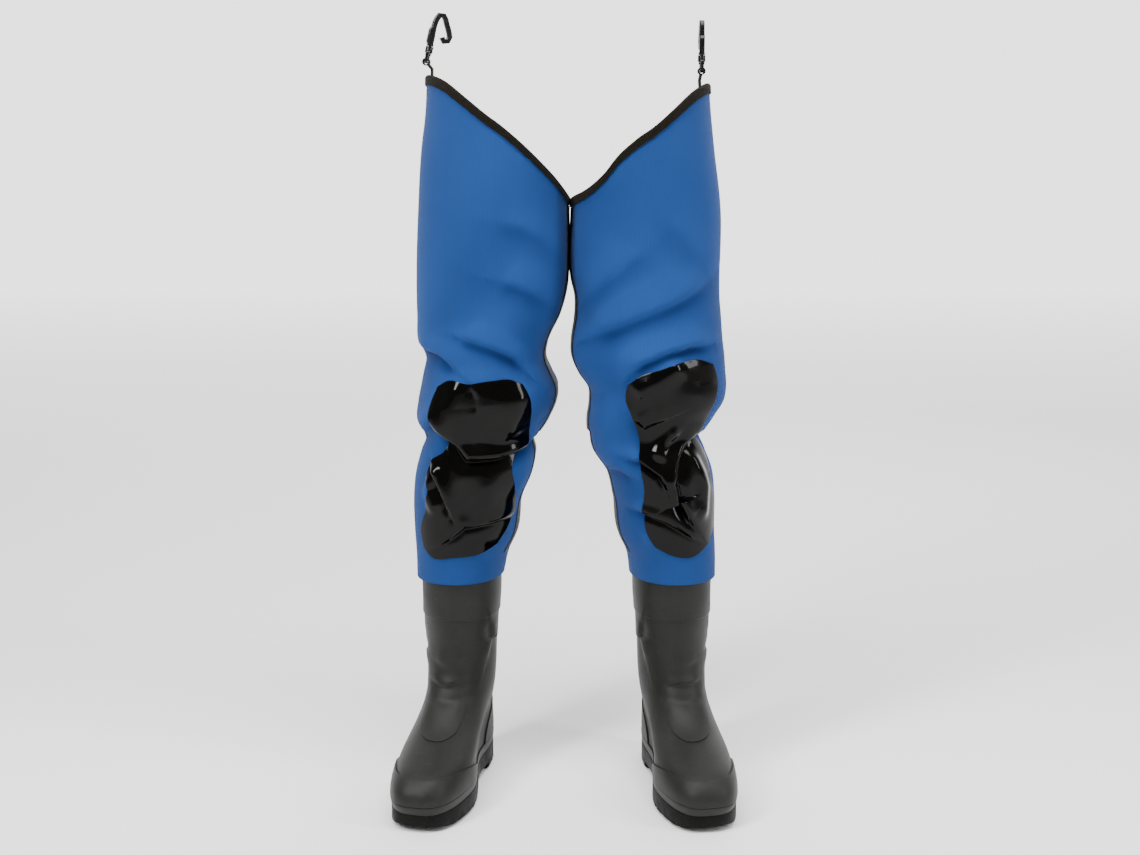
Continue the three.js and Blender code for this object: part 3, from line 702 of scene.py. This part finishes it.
def make_binding(side):
    """The tape folded over the rim: down outside, over the edge and down inside."""
    skin = LEG_SKINS[side]
    wide, proud = 8.0, 1.1

    def shape(u, v):
        angle = FULL_TURN * u
        top = rim_height(side, angle)
        turn = np.clip((v - 0.3) / 0.4, 0, 1) * math.pi
        out = np.where(turn > 0, (WALL / 2 + proud) * np.cos(turn) - WALL / 2, proud)
        out = np.where(v >= 0.7, -WALL - proud, out)
        rise = (WALL / 2 + proud) * np.sin(turn)
        drop = np.where(v < 0.3, (0.3 - v) / 0.3, np.where(v > 0.7, (v - 0.7) / 0.3, 0)) * wide
        ripple = 0.25 * np.sin(angle * 61) + 0.2 * np.sin(angle * 37 + 1)
        place = skin(angle, top - drop) + normals(skin, angle, top - drop, SKIN_STEP) * out[..., None]
        place[..., 2] += rise + ripple * (drop > 3)
        return place

    binding = cloth_grid(side, "binding", shape, 360, 30, (0.75, 0.03))
    thicken(binding, 1.0, 1, 0.3)
    smooth_shade(binding, 50)
    hand_over(binding, side, "top_binding")


def make_inseam_tape(side):
    skin = LEG_SKINS[side]
    low = 322.0

    def shape(u, v):
        angle = -math.pi / 2 + 0.16 + (u - 0.5) * 0.17
        top = rim_height(side, angle) - 10
        height = low + (top - low) * v
        return skin(angle, height) + normals(skin, angle, height, SKIN_STEP) * 0.1

    tape = cloth_grid(side, "tape", shape, 14, 170, (0.016, 0.48), weld=False)
    thicken(tape, 0.9, 1, 0.3)
    smooth_shade(tape)
    hand_over(tape, side, "inseam_tape")


def make_seal_tape(side):
    skin = LEG_SKINS[side]

    def shape(u, v):
        angle, height = FULL_TURN * u, 319 + 27 * v
        return skin(angle, height) - normals(skin, angle, height, SKIN_STEP) * (WALL + 0.4)

    tape = cloth_grid(side, "seal", shape, 90, 8, (0.4, 0.03))
    thicken(tape, 0.9, -1, 0.2)
    smooth_shade(tape)
    hand_over(tape, side, "seal_tape")


# The knee patch's four sides in millimetres, as (X from the meeting plane, height): the top and the bottom
# run from the outer side to the inner one, and the two sides run down.
PATCH_SIDES = {
    "right": {
        "top": [(168, 557), (152, 566), (130, 563), (104, 567), (79, 568), (64, 561)],
        "inner": [
            *[(64, 561), (55, 540), (54, 511), (59, 487), (69, 466)],
            *[(78, 450), (75, 420), (73, 395), (77, 370), (90, 343)],
        ],
        "bottom": [(184, 336), (167, 323), (139, 326), (108, 331), (90, 343)],
        "outer": [
            *[(168, 557), (176, 538), (178, 520), (170, 502), (158, 487), (162, 471)],
            *[(178, 458), (187, 437), (182, 412), (184, 388), (191, 358), (184, 336)],
        ],
    },
    "left": {
        "top": [(184, 585), (163, 593), (138, 590), (114, 582), (92, 573), (76, 561)],
        "inner": [
            *[(76, 561), (74, 545), (82, 520), (91, 489), (92, 459)],
            *[(98, 430), (94, 390), (96, 362), (106, 341)],
        ],
        "bottom": [(176, 341), (164, 332), (145, 325), (122, 331), (106, 341)],
        "outer": [
            *[(184, 585), (191, 562), (188, 540), (176, 516), (164, 492), (170, 474)],
            *[(178, 455), (185, 422), (188, 380), (184, 354), (176, 341)],
        ],
    },
}


def patch_side(points, t):
    """A smooth run through a patch side's points, at shares of its length."""
    points = np.array(points, float)
    steps = np.concatenate([[0], np.cumsum(np.linalg.norm(np.diff(points, axis=0), axis=1))])
    return spline(np.column_stack([steps / steps[-1], points]), t)


def make_patch(side):
    skin = LEG_SKINS[side]
    edges = PATCH_SIDES[side]

    def shape(u, v):
        top, bottom = patch_side(edges["top"], 1 - u), patch_side(edges["bottom"], 1 - u)
        inner, outer = patch_side(edges["inner"], 1 - v), patch_side(edges["outer"], 1 - v)
        corners = [np.array(edges[k][i]) for k, i in (("top", 0), ("top", -1), ("bottom", 0), ("bottom", -1))]
        u, v = u[:, None], v[:, None]
        flat = bottom * (1 - v) + top * v + inner * (1 - u) + outer * u
        upper = (corners[0] * u + corners[1] * (1 - u)) * v
        lower = (corners[2] * u + corners[3] * (1 - u)) * (1 - v)
        flat -= upper + lower
        outer_x, inner_x = spline(LEG_OUTLINES[side], flat[:, 1])[:, :2].T
        across = (flat[:, 0] - (outer_x + inner_x) / 2) / ((outer_x - inner_x) / 2)
        angle = np.arcsin(np.clip(across, -0.97, 0.97))
        return skin(angle, flat[:, 1]) + normals(skin, angle, flat[:, 1], SKIN_STEP) * 0.25

    patch = cloth_grid(side, "patch", shape, 110, 210, (0.12, 0.25), weld=False)
    thicken(patch, 1.5, 1, 0.7, 3)
    smooth_shade(patch, 50)
    hand_over(patch, side, "knee_patch")


# ---------------------------------------------------------------- the boots

BOOT_SPREAD = {"right": 149.0, "left": 140.0}
TOE_OUT = {"right": 14.5, "left": 12.0}
# The boot's side view and width from the sole's edge up: front Y and height, back Y and height, half width,
# how full the ends are, and how much of the foot's outline it has.
BOOT_ROWS = np.array(
    [
        (-211.3, 24, 72, 33, 49, 0.62, 1),
        (-216, 36, 76, 45, 50, 0.62, 1),
        (-212, 52, 77, 59, 49.5, 0.64, 0.95),
        (-195.6, 67, 76, 74, 48, 0.68, 0.85),
        (-162.6, 81, 73, 90, 46, 0.74, 0.65),
        (-121.8, 97, 69, 106, 45, 0.82, 0.4),
        (-88, 119, 65, 124, 44, 0.92, 0.15),
        (-68.4, 148, 63, 149, 44.5, 1, 0),
        (-59, 189, 64, 189, 47, 1, 0),
        (-59, 234, 66, 234, 50.2, 1, 0),
        (-59, 288, 67, 288, 51.8, 1, 0),
        (-59, 318, 67, 318, 52, 1, 0),
    ]
)


def ease(low, high, x):
    t = np.clip((x - low) / (high - low), 0, 1)
    return t * t * (3 - 2 * t)


def boot_skin(angle, row):
    """A boot's outer face in its own frame: rows counted up from the sole, and the angle from the heel."""
    row, angle = np.broadcast_arrays(row, angle)
    keyed = np.column_stack([np.arange(len(BOOT_ROWS)), BOOT_ROWS])
    front_y, front_z, back_y, back_z, half, full, foot = np.moveaxis(spline(keyed, row), -1, 0)
    t = (1 - np.cos(angle)) / 2
    across = -np.sin(angle)
    width = 0.75 - 0.06 * np.sin(math.pi * ease(0.1, 0.55, t)) + 0.35 * ease(0.35, 0.72, t)
    bend = 2.5 * np.sin(math.pi * ease(0.2, 0.8, t)) - 4 * ease(0.45, 1, t)
    reach = np.sign(across) * np.abs(across) ** full
    x = reach * half * (1 - foot + foot * width) + foot * bend
    return np.stack([x, back_y + (front_y - back_y) * t, back_z + (front_z - back_z) * t], -1)


# Dents in the boot's shaft, unrolled from the front: the inner side is at negative places.
BOOT_DENTS = [
    ([(-56, 228), (-66, 200), (-58, 168)], 4.5, 9),
    ([(58, 206), (66, 182), (60, 158)], 3.0, 9),
    ([(-24, 176), (0, 171), (26, 176)], 2.2, 7),
    ([(-34, 151), (0, 146), (34, 151)], 3.0, 6),
    ([(-16, 118), (0, 114), (16, 118)], -2.2, 12),
]


def boot_face(angle, row):
    """The boot's skin with its wear: creases over the instep and behind the ankle, dents and waves."""
    base = boot_skin(angle, row)
    z, y = base[..., 2], base[..., 1]
    front = np.clip(-np.cos(angle), 0, 1)
    creases = 1.6 * np.exp(-(((z - 128 - 0.12 * (y + 80)) / 6) ** 2))
    creases = creases + 1.1 * np.exp(-(((z - 158) / 7) ** 2))
    creases = creases * front**2 + 1.3 * np.exp(-(((z - 150) / 8) ** 2)) * np.clip(np.cos(angle), 0, 1) ** 2
    waves = 0.8 * np.sin(3 * angle + z / 31) + 0.5 * np.sin(5 * angle - z / 23 + 1)
    flat = np.stack([(angle - math.pi) * 48, z], -1)
    for line, depth, width in BOOT_DENTS:
        waves = waves + groove(flat, np.array(line, float), depth, width)
    quiet = ease(45, 95, z) * (1 - ease(250, 282, z))
    return base + normals(boot_skin, angle, row, BOOT_STEP) * ((waves - creases) * quiet)[..., None]


def turned(side, points):
    """Points of a boot in its own frame, in the pair's frame."""
    t = math.radians(TOE_OUT[side])
    x, y, z = np.moveaxis(points, -1, 0)
    turned_x = x * math.cos(t) - y * math.sin(t) + BOOT_SPREAD[side]
    turned_y = x * math.sin(t) + y * math.cos(t)
    return np.stack([turned_x, turned_y, z], -1)


def boot_sheet(side, name, place, columns, rows, size, base, thick, edge, weld=False):
    """A sheet on the boot: place gives the angle and the row at places across and up.

    base is how far its near face stands off the boot's skin, and a negative thickness goes inwards.
    """

    def shape(u, v):
        angle, row = place(u, v)
        return turned(side, boot_face(angle, row) + normals(boot_face, angle, row, BOOT_STEP) * base)

    sheet = cloth_grid(side, name, shape, columns, rows, size, weld)
    thicken(sheet, abs(thick), 1 if thick > 0 else -1, edge)
    smooth_shade(sheet, 45)
    return sheet


def row_at(height_of, angle):
    """The row on the boot where a height, front or back, is reached."""
    rows = np.linspace(0, len(BOOT_ROWS) - 1, 400)
    grid = boot_skin(np.asarray(angle)[:, None], rows[None, :])
    wanted = height_of(grid[..., 1])
    over = grid[..., 2] - wanted
    index = np.argmax(over >= 0, axis=1)
    index = np.clip(index, 1, len(rows) - 1)
    low, high = over[np.arange(len(index)), index - 1], over[np.arange(len(index)), index]
    share = np.clip(-low / np.maximum(high - low, 1e-6), 0, 1)
    return rows[index - 1] + share * (rows[1] - rows[0])


def feather(y, rise):
    """A height over the line where the upper meets the sole, at a place from front to back."""
    toe_y, toe_z, heel_y, heel_z = BOOT_ROWS[0, :4]
    slope = (heel_z - toe_z) / (heel_y - toe_y)
    return heel_z + (y - heel_y) * slope + rise


def along_sole(rise):
    return lambda y: feather(y, rise)


def level(height):
    return lambda y: height + 0 * y


def round_top(power, root):
    """How tall a part is over its middle, 0, towards its ends, 1."""
    return lambda s: 0.04 + 0.96 * np.clip(1 - s**power, 0, 1) ** root


def boot_band(low, high):
    """Places right round the boot, between two heights."""

    def place(u, v):
        angle = FULL_TURN * u
        bottom = row_at(low, angle)
        return angle, bottom + (row_at(high, angle) - bottom) * v

    return place


def boot_part(middle, half_turn, tall, low, high):
    """Places on one end of the boot, between two heights, lower towards both sides."""

    def place(u, v):
        angle = middle + (u - 0.5) * 2 * half_turn
        bottom = row_at(low, angle)
        return angle, bottom + (row_at(high, angle) - bottom) * v * tall(np.abs(u - 0.5) * 2)

    return place


def instep_place(u, v):
    """Places on a rounded panel over the instep."""
    a, b = (u - 0.5) * 2, (v - 0.5) * 2
    round_a, round_b = a * np.sqrt(1 - b * b / 2.6), b * np.sqrt(1 - a * a / 2.6)
    angle = math.pi + round_a * 0.62
    return angle, row_at(lambda y: 121 + round_b[:, None] * 29, angle)


def make_boot(side):
    def whole(u, v):
        return FULL_TURN * u, (len(BOOT_ROWS) - 1.0) * v

    upper = boot_sheet(side, "upper", whole, 144, 150, (0.35, 0.35), 0, -3.6, 0.8, True)
    hand_over(upper, side, "boot_upper")

    place = boot_band(along_sole(0.4), along_sole(12.2))
    foxing = boot_sheet(side, "foxing", place, 144, 8, (0.7, 0.012), 0.2, 2.3, 0.8, True)
    hand_over(foxing, side, "foxing")

    place = boot_band(level(234), level(287))
    cuff = boot_sheet(side, "cuff", place, 144, 20, (0.35, 0.05), 0.15, 1.5, 0.7, True)
    hand_over(cuff, side, "shaft_cuff")

    place = boot_part(math.pi, 1.45, round_top(2.6, 0.5), along_sole(12.6), along_sole(41))
    bumper = boot_sheet(side, "bumper", place, 90, 16, (0.3, 0.03), 0.2, 2.6, 0.6)
    hand_over(bumper, side, "toe_bumper")

    patch = boot_sheet(side, "instep", instep_place, 50, 60, (0.06, 0.1), 0.15, 1.4, 0.7)
    hand_over(patch, side, "instep_patch")

    place = boot_part(0.0, 1.12, round_top(2.4, 0.6), along_sole(12.6), along_sole(72))
    heel = boot_sheet(side, "counter", place, 70, 36, (0.13, 0.06), 0.2, 1.8, 0.8)
    heel = join_spur(side, heel)
    hand_over(heel, side, "heel_counter")


def join_spur(side, counter):
    """The kick-off ledge across the heel: a rounded block joined to the counter's mesh."""
    back = turned(side, np.array([0.0, 78.0, 74.0]))
    deselect()
    bpy.ops.mesh.primitive_cube_add(size=1, location=place_on(side, back))
    spur = bpy.context.object
    spur.scale = (0.036, 0.011, 0.006)
    spur.rotation_euler.z = math.radians(TOE_OUT[side]) * SIDES[side]
    bpy.ops.object.transform_apply(location=True, rotation=True, scale=True)
    bevel = spur.modifiers.new("round", "BEVEL")
    bevel.width = 0.0022
    bevel.segments = 3
    finish_modifiers(spur)
    smooth_shade(spur)
    deselect()
    spur.select_set(True)
    counter.select_set(True)
    bpy.context.view_layer.objects.active = counter
    bpy.ops.object.join()
    return bpy.context.object


def refine_copy(side, part, width, body=None):
    """A copy of a CAD piece with merged corners, round edges and its finish."""
    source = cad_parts[f"{side}_{part}"]
    piece = source.copy()
    piece.data = source.data.copy()
    bpy.context.collection.objects.link(piece)
    piece.parent = None
    take(piece)
    bpy.ops.object.mode_set(mode="EDIT")
    bpy.ops.mesh.select_all(action="SELECT")
    bpy.ops.mesh.remove_doubles(threshold=2e-5)
    bpy.ops.mesh.dissolve_limited(angle_limit=math.radians(0.5))
    bpy.ops.object.mode_set(mode="OBJECT")
    bevel = piece.modifiers.new("edge", "BEVEL")
    bevel.width = width * MM
    bevel.segments = 2
    bevel.limit_method = "ANGLE"
    bevel.angle_limit = math.radians(28)
    finish_modifiers(piece)
    smooth_shade(piece, 35)
    hand_over(piece, side, part, body)


for side in SIDES:
    make_leg(side)
    make_binding(side)
    make_inseam_tape(side)
    make_seal_tape(side)
    make_patch(side)
    make_boot(side)
    refine_copy(side, "insole", 0.8)
    refine_copy(side, "outsole", 0.8)
    refine_copy(side, "heel", 0.8)
    refine_copy(side, "webbing_tab", 0.3)
    refine_copy(side, "clip_frame", 0.7, f"{side}_clip")
    refine_copy(side, "belt_hook", 0.5, f"{side}_hook")
